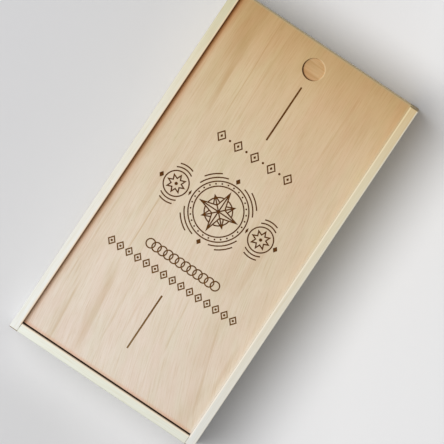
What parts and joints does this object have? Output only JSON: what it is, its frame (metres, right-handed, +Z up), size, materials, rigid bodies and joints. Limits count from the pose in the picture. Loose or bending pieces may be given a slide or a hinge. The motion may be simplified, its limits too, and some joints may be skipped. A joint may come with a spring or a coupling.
{
  "type": "sliding lid wooden box",
  "caption": "Flat rectangular wooden keepsake box whose plywood lid slides in grooves and out over a lower end wall, with a round finger recess and engraved ornament.",
  "frame": {"origin": "middle of the underside of the closed box, on the surface that it stands on", "axes": "+Z up, +Y along the box towards the open end where the lid slides out, +X towards the right side wall"},
  "size_m": [0.195, 0.36, 0.1],
  "materials": {
    "wall_wood": "pale softwood boards, sanded and unvarnished",
    "lid_plywood": "light plywood with a warm face veneer, sanded, engraved lines scorched brown",
    "bottom_plywood": "light plywood, sanded and unvarnished",
    "brad_steel": "plain steel, dull"
  },
  "bodies": {
    "box": {"left_side_wall": "wall_wood", "right_side_wall": "wall_wood", "closed_end_wall": "wall_wood", "open_end_wall": "wall_wood", "bottom_panel": "bottom_plywood", "closed_end_brads": "brad_steel", "open_end_brads": "brad_steel", "bottom_brads": "brad_steel"},
    "lid": {"sliding_lid": "lid_plywood"}
  },
  "joints": [
    {"name": "lid_slide", "type": "slide", "parent": "box", "child": "lid", "axis": [0, 1, 0], "range_m": [-0.001, 0.352]}
  ]
}
